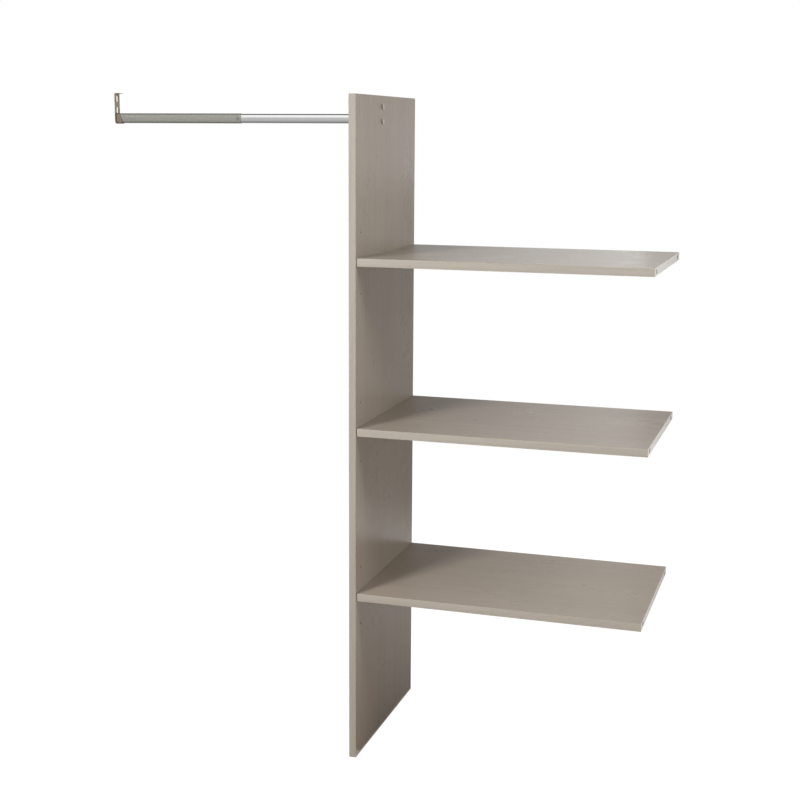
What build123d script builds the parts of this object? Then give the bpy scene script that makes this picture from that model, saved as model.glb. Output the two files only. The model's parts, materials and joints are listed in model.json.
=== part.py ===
from build123d import *
import os

os.makedirs("parts", exist_ok=True)

# Frame: millimetres. The origin is the middle of the upright panel's foot.
# +X runs along the shelves, away from the hanging rod. +Y points to the wall behind. +Z is up.

# Upright panel: melamine-faced chipboard, banded on its front, top and foot edges
panel_height = 2040.0
panel_depth = 590.0
panel_thickness = 22.0
band_thickness = 1.0

# Shelves: three alike, flush with the panel at the wall and set back at the front
shelf_length = 872.0
shelf_thickness = 24.0
shelf_setback = 6.0
shelf_end_gap = 0.4
low_shelf_height = 524.0
mid_shelf_height = 1042.0
high_shelf_height = 1553.5
shelf_names = ["low", "mid", "high"]

# Drilled columns in the panel's right face, for the shelf bolts and for moving a shelf
column_setback = 45.0
column_back_setback = 45.0
column_hole_diameter = 5.0
column_hole_depth = 13.0
spare_hole_rise = 86.0
spare_hole_fall = 97.0

# Shelf joint at the panel: a bolt in the panel, a turning cam in the shelf's underside, a dowel
cam_backset = 34.0
cam_pocket_diameter = 15.0
cam_recess = 0.2
cam_wall = 1.8
cam_roof = 1.5
cam_running_clearance = 0.08
cam_slot_angle = 230.0
cam_cross_length = 8.0
cam_cross_width = 1.4
cam_cross_depth = 3.0
bolt_bore_diameter = 8.0
bolt_shank_diameter = 6.0
bolt_neck_diameter = 4.0
bolt_head_diameter = 7.0
bolt_head_length = 3.0
bolt_head_backset = 1.0
bolt_neck_length = 9.0
bolt_thread_length = 12.0
cavity_clearance = 0.4
dowel_diameter = 8.0
dowel_length = 30.0
dowel_panel_depth = 11.0
dowel_bore_spare = 1.0
dowel_spacing = 32.0
seat_clearance = 0.1

# Wall sockets: plastic sleeves in each shelf's far end, which slide over pins in the side wall
socket_diameter = 15.0
socket_length = 24.0
socket_bore_diameter = 10.0
socket_bore_depth = 20.0
socket_mouth_chamfer = 0.8

# Hanging rod: an oval chrome tube in the panel's cup, and a wider one that slides over it
rod_drop = 69.0
rod_setback = 247.0
rod_span = 880.0
rod_height = 31.0
rod_width = 16.0
rod_wall = 0.8
rod_slide_clearance = 0.3
rod_outer_length = 435.0
rod_inner_length = 690.0
rod_end_gap = 0.5
plug_flange = 4.0
plug_insert = 14.0
plug_slide_clearance = 0.08
lock_screw_backset = 12.0
lock_screw_diameter = 5.0
lock_head_diameter = 9.0
lock_head_height = 2.6
lock_head_gap = 0.3
lock_slot_width = 1.2
lock_slot_depth = 1.2

# Stamped steel rod brackets: a plate with a cup that wraps the tube's end
sheet_thickness = 1.6
sheet_bend_radius = 1.2
cup_clearance = 0.3
cup_cheek_rise = 12.0
cup_depth_top = 14.0
cup_depth_foot = 23.0
cup_screw_reach = 8.0
cup_screw_diameter = 3.5
cup_screw_length = 6.0
cup_screw_head_diameter = 6.5
cup_screw_head_height = 2.0

# Wall bracket at the rod's far end, with two slots and a turned top edge
wall_bracket_width = 32.0
wall_bracket_rise = 79.0
wall_flange_reach = 15.0
wall_flange_corner = 4.0
wall_slot_low = 26.0
wall_slot_spacing = 35.0
wall_slot_length = 20.0
wall_slot_width = 8.5

# Panel bracket at the rod's near end, held by two bolts right through the panel
panel_bracket_width = 28.0
panel_bracket_rise = 52.0
rod_bolt_low = -8.5
rod_bolt_spacing = 45.0
rod_bolt_diameter = 5.0
rod_bolt_length = 19.0
rod_bolt_head_diameter = 15.5
rod_bolt_head_height = 4.0
rod_bolt_head_edge = 0.8
rod_bolt_cross_length = 7.0
rod_bolt_cross_width = 1.4
rod_bolt_cross_depth = 2.0
barrel_diameter = 8.0
barrel_length = 14.0
barrel_head_diameter = 9.5
barrel_head_height = 1.4

# Wall angles: two small steel angles that tie the panel's left face to the wall behind
angle_leg = 40.0
angle_width = 40.0
angle_sheet = 2.0
angle_bend_radius = 2.0
angle_low_height = 300.0
angle_high_drop = 240.0
angle_wall_hole_diameter = 5.5
angle_wall_hole_reach = 24.0
angle_screw_spacing = 20.0
angle_screw_reach = 24.0
angle_screw_diameter = 3.5
angle_screw_length = 15.0
angle_screw_head_diameter = 7.0
angle_screw_head_height = 2.0

# How far a cutting shape runs past the face it cuts
overrun = 5.0

# Places worked out from the sizes above
panel_left = -panel_thickness / 2
panel_right = panel_thickness / 2
panel_front = -panel_depth / 2
panel_back = panel_depth / 2
shelf_left = panel_right + shelf_end_gap
shelf_right = shelf_left + shelf_length
shelf_front = panel_front + shelf_setback
shelf_back = panel_back
shelf_heights = [low_shelf_height, mid_shelf_height, high_shelf_height]
column_places = [panel_front + column_setback, panel_back - column_back_setback]
dowel_places = [column_places[0] + dowel_spacing, column_places[1] - dowel_spacing]
cam_centre_x = shelf_left + cam_backset
rod_y = panel_front + rod_setback
rod_z = panel_height - rod_drop
wall_plane_x = panel_left - rod_span
outer_tube_left = wall_plane_x + sheet_thickness + rod_end_gap
outer_tube_right = outer_tube_left + rod_outer_length
inner_tube_right = panel_left - sheet_thickness - rod_end_gap
inner_tube_left = inner_tube_right - rod_inner_length
bore_width = rod_width - 2 * rod_wall
bore_height = rod_height - 2 * rod_wall
inner_width = bore_width - 2 * rod_slide_clearance
inner_height = bore_height - 2 * rod_slide_clearance
cup_screw_outer_x = wall_plane_x + cup_screw_reach
cup_screw_inner_x = panel_left - cup_screw_reach
rod_bolt_heights = [rod_z + rod_bolt_low, rod_z + rod_bolt_low + rod_bolt_spacing]
angle_heights = [angle_low_height, panel_height - angle_high_drop]
angle_screw_y = panel_back - angle_screw_reach


def block(x_low, x_high, y_low, y_high, z_low, z_high):
    """A box between two corners."""
    corner = (Align.MIN, Align.MIN, Align.MIN)
    size = Box(x_high - x_low, y_high - y_low, z_high - z_low, align=corner)
    return Pos(x_low, y_low, z_low) * size


def round_x(diameter, x_low, x_high, y, z):
    """A cylinder along X."""
    base = Plane(origin=(x_low, y, z), x_dir=(0, 1, 0), z_dir=(1, 0, 0))
    return extrude(base * Circle(diameter / 2), amount=x_high - x_low)


def round_y(diameter, y_low, y_high, x, z):
    """A cylinder along Y."""
    base = Plane(origin=(x, y_low, z), x_dir=(0, 0, 1), z_dir=(0, 1, 0))
    return extrude(base * Circle(diameter / 2), amount=y_high - y_low)


def round_z(diameter, z_low, z_high, x, y):
    """An upright cylinder."""
    base = Plane(origin=(x, y, z_low), x_dir=(1, 0, 0), z_dir=(0, 0, 1))
    return extrude(base * Circle(diameter / 2), amount=z_high - z_low)


def oval_x(width, height, x_low, x_high, y, z):
    """An oval bar along X: flat sides, half-round top and bottom."""
    base = Plane(origin=(x_low, y, z), x_dir=(0, 1, 0), z_dir=(1, 0, 0))
    return extrude(base * SlotOverall(height, width, rotation=90), amount=x_high - x_low)


def write(name, *solids):
    """Write one node: a single solid, or a group of separate like solids."""
    shape = solids[0] if len(solids) == 1 else Compound(label=name, children=list(solids))
    export_step(shape, f"parts/{name}.step")


def make_panel_board():
    """The chipboard upright with every hole that is drilled in it."""
    board = block(
        panel_left, panel_right,
        panel_front + band_thickness, panel_back,
        band_thickness, panel_height - band_thickness,
    )
    hole_floor = panel_right - column_hole_depth
    for y in column_places:
        for height in shelf_heights:
            for reach in (-spare_hole_fall, 0, spare_hole_rise):
                board -= round_x(
                    column_hole_diameter, hole_floor, panel_right + overrun, y, height + reach
                )
    dowel_floor = panel_right - dowel_panel_depth - seat_clearance
    for y in dowel_places:
        for height in shelf_heights:
            board -= round_x(
                dowel_diameter + 2 * seat_clearance, dowel_floor, panel_right + overrun, y, height
            )
    for height in rod_bolt_heights:
        board -= round_x(
            barrel_diameter + 2 * seat_clearance,
            panel_left - overrun, panel_right + overrun, rod_y, height,
        )
    pilot_end = panel_left - angle_sheet + angle_screw_length + seat_clearance
    for height in angle_heights:
        for side in (-1, 1):
            board -= round_x(
                angle_screw_diameter + 2 * seat_clearance,
                panel_left - overrun, pilot_end,
                angle_screw_y, height + side * angle_screw_spacing / 2,
            )
    return board


def make_panel_bands():
    """Plastic bands glued to the panel: the front one runs full height between no others."""
    front = block(
        panel_left, panel_right, panel_front, panel_front + band_thickness, 0, panel_height
    )
    inner_front = panel_front + band_thickness
    top = block(
        panel_left, panel_right, inner_front, panel_back,
        panel_height - band_thickness, panel_height,
    )
    foot = block(panel_left, panel_right, inner_front, panel_back, 0, band_thickness)
    return front, top, foot


def make_shelf_board(height):
    """One shelf's chipboard, with its cam pockets, bolt and dowel bores and socket holes."""
    underside = height - shelf_thickness / 2
    top = height + shelf_thickness / 2
    board = block(
        shelf_left, shelf_right, shelf_front + band_thickness, shelf_back, underside, top
    )
    for y in column_places:
        board -= round_x(bolt_bore_diameter, shelf_left - overrun, cam_centre_x, y, height)
        board -= round_z(
            cam_pocket_diameter, underside - overrun,
            cam_top(height) + cavity_clearance, cam_centre_x, y,
        )
        board -= round_x(
            socket_diameter + 2 * seat_clearance,
            shelf_right - socket_length - seat_clearance, shelf_right + overrun, y, height,
        )
    dowel_end = panel_right - dowel_panel_depth + dowel_length + dowel_bore_spare
    for y in dowel_places:
        board -= round_x(
            dowel_diameter + 2 * seat_clearance, shelf_left - overrun, dowel_end, y, height
        )
    return board


def make_shelf_band(height):
    """The plastic band on a shelf's front edge."""
    return block(
        shelf_left, shelf_right, shelf_front, shelf_front + band_thickness,
        height - shelf_thickness / 2, height + shelf_thickness / 2,
    )


def cavity_half_height():
    """Half the height of the hollow in a cam, which clears the bolt's head."""
    return bolt_head_diameter / 2 + cavity_clearance


def cam_top(height):
    """The level of a cam's roof, for a bolt at the given height."""
    return height + cavity_half_height() + cam_roof


def make_cam(y, height):
    """A turning cam: a drum with a hollow for the bolt's head and a long slot for its neck."""
    bottom = height - shelf_thickness / 2 + cam_recess
    drum_diameter = cam_pocket_diameter - 2 * cam_running_clearance
    cavity_diameter = drum_diameter - 2 * cam_wall
    cam = round_z(drum_diameter, bottom, cam_top(height), cam_centre_x, y)
    cam -= round_z(
        cavity_diameter, height - cavity_half_height(), height + cavity_half_height(),
        cam_centre_x, y,
    )
    slot_half_height = bolt_neck_diameter / 2 + cavity_clearance
    # The slot faces the panel at rest and runs on round, so that the cam can turn half a turn
    slot_start = 180 - (cam_slot_angle + 180) / 2
    base = Plane(origin=(cam_centre_x, y, height - slot_half_height))
    sector = Cylinder(
        drum_diameter, 2 * slot_half_height, arc_size=cam_slot_angle,
        align=(Align.CENTER, Align.CENTER, Align.MIN),
    )
    cam -= base * Rot(0, 0, slot_start) * sector
    for turn in (0, 90):
        bar = Box(
            cam_cross_length, cam_cross_width, cam_cross_depth + overrun,
            align=(Align.CENTER, Align.CENTER, Align.MAX),
        )
        cam -= Pos(cam_centre_x, y, bottom + cam_cross_depth) * Rot(0, 0, turn) * bar
    return cam


def make_shelf_bolt(y, height):
    """A connecting bolt: thread in the panel, shank, thin neck and a head inside the cam."""
    head_end = cam_centre_x - bolt_head_backset
    head_start = head_end - bolt_head_length
    neck_start = head_start - bolt_neck_length
    thread_diameter = column_hole_diameter - 2 * seat_clearance
    bolt = round_x(thread_diameter, panel_right - bolt_thread_length, panel_right, y, height)
    bolt += round_x(bolt_shank_diameter, panel_right, neck_start, y, height)
    bolt += round_x(bolt_neck_diameter, neck_start, head_start, y, height)
    bolt += round_x(bolt_head_diameter, head_start, head_end, y, height)
    return bolt


def make_dowel(y, height):
    """A beech dowel that lines a shelf up with the panel."""
    start = panel_right - dowel_panel_depth
    dowel = round_x(dowel_diameter, start, start + dowel_length, y, height)
    ends = dowel.edges().filter_by(GeomType.CIRCLE)
    return chamfer(ends, dowel_diameter / 8)


def make_socket(y, height):
    """A plastic sleeve pressed into a shelf's far end, blind at its inner end."""
    start = shelf_right - socket_length
    sleeve = round_x(socket_diameter, start, shelf_right, y, height)
    sleeve -= round_x(
        socket_bore_diameter, shelf_right - socket_bore_depth, shelf_right + overrun, y, height
    )
    mouth = sleeve.faces().sort_by(Axis.X)[-1].inner_wires()[0].edges()
    return chamfer(mouth, socket_mouth_chamfer)


def make_outer_tube():
    """The wider rod tube, open at both ends, drilled for its two screws."""
    tube = oval_x(rod_width, rod_height, outer_tube_left, outer_tube_right, rod_y, rod_z)
    tube -= oval_x(
        bore_width, bore_height,
        outer_tube_left - overrun, outer_tube_right + overrun, rod_y, rod_z,
    )
    front = rod_y - rod_width / 2
    tube -= round_y(
        cup_screw_diameter + 2 * seat_clearance, front - overrun, rod_y, cup_screw_outer_x, rod_z
    )
    tube -= round_y(
        lock_screw_diameter + 2 * seat_clearance, front - overrun, rod_y,
        outer_tube_right - lock_screw_backset, rod_z,
    )
    return tube


def make_inner_tube():
    """The chrome rod tube, open at both ends, drilled for the panel cup's screw."""
    tube = oval_x(inner_width, inner_height, inner_tube_left, inner_tube_right, rod_y, rod_z)
    tube -= oval_x(
        inner_width - 2 * rod_wall, inner_height - 2 * rod_wall,
        inner_tube_left - overrun, inner_tube_right + overrun, rod_y, rod_z,
    )
    tube -= round_y(
        cup_screw_diameter + 2 * seat_clearance, rod_y - rod_width / 2 - overrun, rod_y,
        cup_screw_inner_x, rod_z,
    )
    return tube


def make_glide_plug():
    """A plastic plug in the inner tube's hidden end, whose flange glides in the outer tube."""
    flange = oval_x(
        bore_width - 2 * plug_slide_clearance, bore_height - 2 * plug_slide_clearance,
        inner_tube_left - plug_flange, inner_tube_left, rod_y, rod_z,
    )
    insert = oval_x(
        inner_width - 2 * rod_wall - 2 * seat_clearance,
        inner_height - 2 * rod_wall - 2 * seat_clearance,
        inner_tube_left, inner_tube_left + plug_insert, rod_y, rod_z,
    )
    return flange + insert


def make_lock_screw():
    """The slotted screw near the outer tube's mouth, which sets the rod's length."""
    x = outer_tube_right - lock_screw_backset
    front = rod_y - rod_width / 2
    seat = front - lock_head_gap
    screw = round_y(lock_head_diameter, seat - lock_head_height, seat, x, rod_z)
    screw += round_y(lock_screw_diameter, seat, front + rod_wall, x, rod_z)
    slot = block(
        x - lock_head_diameter, x + lock_head_diameter,
        seat - lock_head_height - overrun, seat - lock_head_height + lock_slot_depth,
        rod_z - lock_slot_width / 2, rod_z + lock_slot_width / 2,
    )
    return screw - slot


def make_cup(tube_width, tube_height):
    """A cup for a tube's end: plate face at X zero, rod axis on the X axis, lip longest below."""
    room_width = tube_width + 2 * cup_clearance
    room_height = tube_height + 2 * cup_clearance
    wall_width = room_width + 2 * sheet_thickness
    wall_height = room_height + 2 * sheet_thickness
    wrap = oval_x(wall_width, wall_height, 0, cup_depth_foot, 0, 0)
    wrap -= oval_x(room_width, room_height, -overrun, cup_depth_foot + overrun, 0, 0)
    side = Plane.XZ * Polygon(
        (0, -wall_height / 2), (cup_depth_foot, -wall_height / 2),
        (cup_depth_top, cup_cheek_rise), (0, cup_cheek_rise), align=None,
    )
    wrap &= extrude(side, amount=wall_width, both=True)
    wrap -= round_y(
        cup_screw_diameter + 2 * seat_clearance, -wall_width, 0, cup_screw_reach, 0
    )
    return wrap


def plate_outline(width, foot, rise, corner, top_corner):
    """A plate's outline seen along X, with rounded corners."""
    face = Plane.YZ * Pos(0, (rise + foot) / 2) * Rectangle(width, rise - foot)
    face = fillet(face.vertices().sort_by(Axis.Z)[:2], corner)
    if top_corner:
        face = fillet(face.vertices().sort_by(Axis.Z)[-2:], top_corner)
    return face


def make_wall_bracket():
    """The slotted bracket at the rod's far end, with its top edge turned out over the rod."""
    foot = -(rod_height / 2 + cup_clearance + sheet_thickness)
    corner = rod_width / 2 + cup_clearance + sheet_thickness
    bent = Plane.XZ * Polygon(
        (0, foot), (sheet_thickness, foot),
        (sheet_thickness, wall_bracket_rise - sheet_thickness),
        (wall_flange_reach, wall_bracket_rise - sheet_thickness),
        (wall_flange_reach, wall_bracket_rise), (0, wall_bracket_rise), align=None,
    )
    inner_bend = bent.vertices().group_by(Axis.Z)[1].sort_by(Axis.X)[0]
    bent = fillet([inner_bend], sheet_bend_radius)
    outer_bend = bent.vertices().group_by(Axis.Z)[-1].sort_by(Axis.X)[0]
    bent = fillet([outer_bend], sheet_bend_radius + sheet_thickness)
    bracket = extrude(bent, amount=wall_bracket_width / 2, both=True)
    outline = plate_outline(wall_bracket_width, foot, wall_bracket_rise, corner, 0)
    bracket &= extrude(outline, amount=wall_flange_reach)
    free_corners = bracket.edges().filter_by(Axis.Z).group_by(Axis.X)[-1]
    bracket = fillet(free_corners, wall_flange_corner)
    for height in (wall_slot_low, wall_slot_low + wall_slot_spacing):
        bracket -= oval_x(wall_slot_width, wall_slot_length, -overrun, overrun, 0, height)
    bracket += make_cup(rod_width, rod_height)
    return Pos(wall_plane_x, rod_y, rod_z) * bracket


def make_panel_bracket():
    """The bracket on the panel's left face, turned round to face the rod."""
    foot = -(inner_height / 2 + cup_clearance + sheet_thickness)
    corner = inner_width / 2 + cup_clearance + sheet_thickness
    outline = plate_outline(panel_bracket_width, foot, panel_bracket_rise, corner, corner)
    bracket = extrude(outline, amount=sheet_thickness) + make_cup(inner_width, inner_height)
    bracket = bracket.mirror(Plane.YZ)
    for height in (rod_bolt_low, rod_bolt_low + rod_bolt_spacing):
        bracket -= round_x(
            barrel_diameter + 2 * seat_clearance, -sheet_thickness - overrun, overrun, 0, height
        )
    return Pos(panel_left, rod_y, rod_z) * bracket


def make_cup_screw(x, tube_width):
    """A small pan-head screw through a cup's front cheek into the tube."""
    cheek = rod_y - tube_width / 2 - cup_clearance - sheet_thickness
    screw = round_y(cup_screw_head_diameter, cheek - cup_screw_head_height, cheek, x, rod_z)
    rim = screw.edges().filter_by(GeomType.CIRCLE).sort_by(Axis.Y)[0]
    screw = fillet([rim], cup_screw_head_height / 2)
    return screw + round_y(cup_screw_diameter, cheek, cheek + cup_screw_length, x, rod_z)


def make_rod_bolt(height):
    """A chrome bolt with a thick flat head on the panel's right face."""
    head = round_x(
        rod_bolt_head_diameter, panel_right, panel_right + rod_bolt_head_height, rod_y, height
    )
    rim = head.edges().filter_by(GeomType.CIRCLE).sort_by(Axis.X)[-1]
    head = fillet([rim], rod_bolt_head_edge)
    bolt = head + round_x(
        rod_bolt_diameter, panel_right - rod_bolt_length, panel_right, rod_y, height
    )
    for turn in (0, 90):
        bar = Box(
            rod_bolt_cross_depth + overrun, rod_bolt_cross_length, rod_bolt_cross_width,
            align=(Align.MIN, Align.CENTER, Align.CENTER),
        )
        floor = panel_right + rod_bolt_head_height - rod_bolt_cross_depth
        bolt -= Pos(floor, rod_y, height) * Rot(turn, 0, 0) * bar
    return bolt


def make_barrel_nut(height):
    """A sleeve nut: thin head on the bracket, threaded barrel inside the panel."""
    plate_face = panel_left - sheet_thickness
    nut = round_x(
        barrel_head_diameter, plate_face - barrel_head_height, plate_face, rod_y, height
    )
    nut += round_x(barrel_diameter, plate_face, plate_face + barrel_length, rod_y, height)
    nut -= round_x(
        rod_bolt_diameter + 2 * seat_clearance,
        plate_face, plate_face + barrel_length + overrun, rod_y, height,
    )
    return nut


def make_wall_angle(height):
    """A steel angle: one leg on the panel's left face, the other flat against the wall."""
    corner_x = panel_left
    profile = Plane.XY * Polygon(
        (corner_x, panel_back - angle_leg), (corner_x, panel_back),
        (corner_x - angle_leg, panel_back), (corner_x - angle_leg, panel_back - angle_sheet),
        (corner_x - angle_sheet, panel_back - angle_sheet),
        (corner_x - angle_sheet, panel_back - angle_leg), align=None,
    )
    inner_bend = profile.vertices().group_by(Axis.Y)[1].sort_by(Axis.X)[-1]
    profile = fillet([inner_bend], angle_bend_radius)
    outer_bend = profile.vertices().group_by(Axis.Y)[-1].sort_by(Axis.X)[-1]
    profile = fillet([outer_bend], angle_bend_radius + angle_sheet)
    angle = extrude(Pos(0, 0, height) * profile, amount=angle_width / 2, both=True)
    angle -= round_y(
        angle_wall_hole_diameter, panel_back - angle_sheet - overrun, panel_back + overrun,
        panel_left - angle_wall_hole_reach, height,
    )
    for side in (-1, 1):
        angle -= round_x(
            angle_screw_diameter + 2 * seat_clearance,
            panel_left - angle_sheet - overrun, panel_left + overrun,
            angle_screw_y, height + side * angle_screw_spacing / 2,
        )
    return angle


def make_angle_screw(height):
    """A pan-head chipboard screw that holds an angle to the panel."""
    seat = panel_left - angle_sheet
    head = round_x(
        angle_screw_head_diameter, seat - angle_screw_head_height, seat, angle_screw_y, height
    )
    rim = head.edges().filter_by(GeomType.CIRCLE).sort_by(Axis.X)[0]
    head = fillet([rim], angle_screw_head_height / 2)
    return head + round_x(
        angle_screw_diameter, seat, seat + angle_screw_length, angle_screw_y, height
    )


# The upright and its bands
write("panel_board", make_panel_board())
front_band, top_band, foot_band = make_panel_bands()
write("panel_front_band", front_band)
write("panel_top_band", top_band)
write("panel_foot_band", foot_band)

# The shelves, each with its band, its two cams and its two sockets
for shelf, level in zip(shelf_names, shelf_heights):
    write(f"{shelf}_shelf_board", make_shelf_board(level))
    write(f"{shelf}_shelf_band", make_shelf_band(level))
    write(f"{shelf}_shelf_sockets", *[make_socket(y, level) for y in column_places])
    for end, y in zip(("front", "back"), column_places):
        write(f"{shelf}_{end}_cam", make_cam(y, level))
write("shelf_bolts", *[make_shelf_bolt(y, z) for z in shelf_heights for y in column_places])
write("shelf_dowels", *[make_dowel(y, z) for z in shelf_heights for y in dowel_places])

# The hanging rod and its two brackets
write("rod_outer_tube", make_outer_tube())
write("rod_inner_tube", make_inner_tube())
write("rod_glide_plug", make_glide_plug())
write("rod_lock_screw", make_lock_screw())
write("rod_wall_bracket", make_wall_bracket())
write("rod_wall_bracket_screw", make_cup_screw(cup_screw_outer_x, rod_width))
write("rod_panel_bracket", make_panel_bracket())
write("rod_panel_bracket_screw", make_cup_screw(cup_screw_inner_x, inner_width))
write("rod_bolts", *[make_rod_bolt(z) for z in rod_bolt_heights])
write("rod_barrel_nuts", *[make_barrel_nut(z) for z in rod_bolt_heights])

# The angles that tie the panel to the wall
for place, level in zip(("low", "high"), angle_heights):
    write(f"{place}_wall_angle", make_wall_angle(level))
write("wall_angle_screws", *[
    make_angle_screw(z + side * angle_screw_spacing / 2) for z in angle_heights for side in (-1, 1)
])
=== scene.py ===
import json
import math

import bmesh
import bpy
import numpy as np
from mathutils import Matrix, Vector

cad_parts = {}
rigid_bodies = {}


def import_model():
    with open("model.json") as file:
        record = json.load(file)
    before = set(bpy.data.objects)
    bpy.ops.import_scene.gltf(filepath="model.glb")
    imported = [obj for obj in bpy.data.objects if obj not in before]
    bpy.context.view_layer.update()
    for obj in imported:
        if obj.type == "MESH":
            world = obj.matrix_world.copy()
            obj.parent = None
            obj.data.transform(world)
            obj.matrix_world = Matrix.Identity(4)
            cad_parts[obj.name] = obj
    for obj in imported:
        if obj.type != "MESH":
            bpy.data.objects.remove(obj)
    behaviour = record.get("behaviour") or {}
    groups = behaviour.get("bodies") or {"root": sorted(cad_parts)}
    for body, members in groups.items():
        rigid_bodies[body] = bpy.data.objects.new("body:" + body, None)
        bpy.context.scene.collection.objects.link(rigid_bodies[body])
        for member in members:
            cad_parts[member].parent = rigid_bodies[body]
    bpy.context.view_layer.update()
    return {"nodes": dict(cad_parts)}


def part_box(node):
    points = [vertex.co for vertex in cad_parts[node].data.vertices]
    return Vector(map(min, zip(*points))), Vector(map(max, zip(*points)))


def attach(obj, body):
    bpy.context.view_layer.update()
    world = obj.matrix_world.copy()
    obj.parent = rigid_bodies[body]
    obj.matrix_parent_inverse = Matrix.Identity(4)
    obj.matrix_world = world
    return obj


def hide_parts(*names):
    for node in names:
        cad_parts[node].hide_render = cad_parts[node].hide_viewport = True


# Blender may open with objects of its own, which go before the frame comes in
for spare in list(bpy.data.objects):
    bpy.data.objects.remove(spare)

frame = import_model()
scene = bpy.context.scene
scene.view_settings.view_transform = "Standard"

# Camera
# It stands four metres in front of the closet, to the right of the upright and about as high
# as the hanging rod, and looks a little to the left and down.
camera_spot = (1.37870, -4.21629, 1.92653)
camera_yaw = math.radians(17.3985)
camera_pitch = math.radians(10.6775)
camera_roll = math.radians(0.3294)
camera_data = bpy.data.cameras.new("camera")
camera_data.sensor_fit = "HORIZONTAL"
camera_data.sensor_width = 36.0
camera_data.lens = 63.54
camera = bpy.data.objects.new("camera", camera_data)
scene.collection.objects.link(camera)
camera.matrix_world = (
    Matrix.Translation(camera_spot)
    @ Matrix.Rotation(camera_yaw, 4, "Z")
    @ Matrix.Rotation(math.pi / 2 - camera_pitch, 4, "X")
    @ Matrix.Rotation(camera_roll, 4, "Z")
)
scene.camera = camera

# Studio
# A white floor and background with a strong square lamp at the front left, weaker ones to the
# right and behind, and a little light from all round. Cards that only shiny things see grade
# the sheen on the boards, and give the polished tubes their dark edges and grey middle.
room_light = 0.2
floor_reach = 9.0
floor_tone = (0.36, 0.26, 0.17, 1.0)
floor_glow = 0.97
floor_veil = (0.16, 0.16, 0.16, 1.0)
pure_white = (1.0, 1.0, 1.0, 1.0)
closet_middle = (0.3, 0.0, 1.2)
lamp_side = 0.8


def node(tree, kind, feeds=None, **choices):
    """One shader node: choices are its own settings, and feeds gives each of its inputs a
    value, or another node's output to be linked."""
    made = tree.nodes.new(kind)
    for name, value in choices.items():
        setattr(made, name, value)
    for name, value in (feeds or {}).items():
        if isinstance(value, bpy.types.NodeSocket):
            tree.links.new(value, made.inputs[name])
        else:
            made.inputs[name].default_value = value
    return made


def math_node(tree, operation, *values):
    """The output of a Math node on the given values or outputs."""
    return node(tree, "ShaderNodeMath", dict(enumerate(values)), operation=operation).outputs[0]


def seen_directly(tree):
    """1 for what the camera sees, straight, in a mirror or through glass, and 0 for light that
    falls on things."""
    path = node(tree, "ShaderNodeLightPath").outputs
    mirrored = math_node(tree, "MAXIMUM", path["Is Glossy Ray"], path["Is Transmission Ray"])
    return math_node(tree, "MAXIMUM", path["Is Camera Ray"], mirrored)


world = bpy.data.worlds.new("studio")
scene.world = world
world.use_nodes = True
world.node_tree.nodes.clear()
glow = node(world.node_tree, "ShaderNodeMapRange", {
    "Value": seen_directly(world.node_tree), "To Min": room_light, "To Max": 1.0,
})
sky = node(world.node_tree, "ShaderNodeBackground", {
    "Color": pure_white, "Strength": glow.outputs[0],
})
node(world.node_tree, "ShaderNodeOutputWorld", {"Surface": sky.outputs[0]})


def sheet_of_card(name, corners, material):
    """A flat card between four corners, which is part of the studio and not of the closet."""
    mesh = bpy.data.meshes.new(name)
    mesh.from_pydata(corners, [], [(0, 1, 2, 3)])
    mesh.materials.append(material)
    card = bpy.data.objects.new(name, mesh)
    scene.collection.objects.link(card)
    return card


def empty_material(name):
    """A material without nodes, and its node tree."""
    material = bpy.data.materials.new(name)
    material.use_nodes = True
    material.node_tree.nodes.clear()
    return material, material.node_tree


# The floor glows white to the camera and keeps a faint shadow; to other light it is tan
floor_material, tree = empty_material("floor_paper")
paper = node(tree, "ShaderNodeBsdfDiffuse", {"Color": floor_tone})
shine = node(tree, "ShaderNodeEmission", {"Color": pure_white, "Strength": floor_glow})
veil = node(tree, "ShaderNodeBsdfDiffuse", {"Color": floor_veil})
white = node(tree, "ShaderNodeAddShader", {0: shine.outputs[0], 1: veil.outputs[0]})
mixed = node(tree, "ShaderNodeMixShader", {
    0: seen_directly(tree), 1: paper.outputs[0], 2: white.outputs[0],
})
node(tree, "ShaderNodeOutputMaterial", {"Surface": mixed.outputs[0]})
sheet_of_card("floor", [
    (-floor_reach, -floor_reach, 0.0), (floor_reach, -floor_reach, 0.0),
    (floor_reach, floor_reach, 0.0), (-floor_reach, floor_reach, 0.0),
], floor_material)


def mirror_card(name, corners, low_tone, high_tone, axis=2):
    """A card seen in shiny things and nowhere else, grey from its low tone at its first two
    corners to its high tone at the others, along the axis on which they differ."""
    material, tree = empty_material(name)
    place = node(tree, "ShaderNodeNewGeometry").outputs["Position"]
    parts = node(tree, "ShaderNodeSeparateXYZ", {0: place})
    tone = node(tree, "ShaderNodeMapRange", {
        "Value": parts.outputs[axis], "From Min": corners[0][axis],
        "From Max": corners[2][axis] + 0.001, "To Min": low_tone, "To Max": high_tone,
    })
    grey = node(tree, "ShaderNodeEmission", {"Color": pure_white, "Strength": tone.outputs[0]})
    node(tree, "ShaderNodeOutputMaterial", {"Surface": grey.outputs[0]})
    card = sheet_of_card(name, corners, material)
    card.visible_camera = False
    card.visible_diffuse = False
    card.visible_transmission = False
    card.visible_shadow = False


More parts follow.
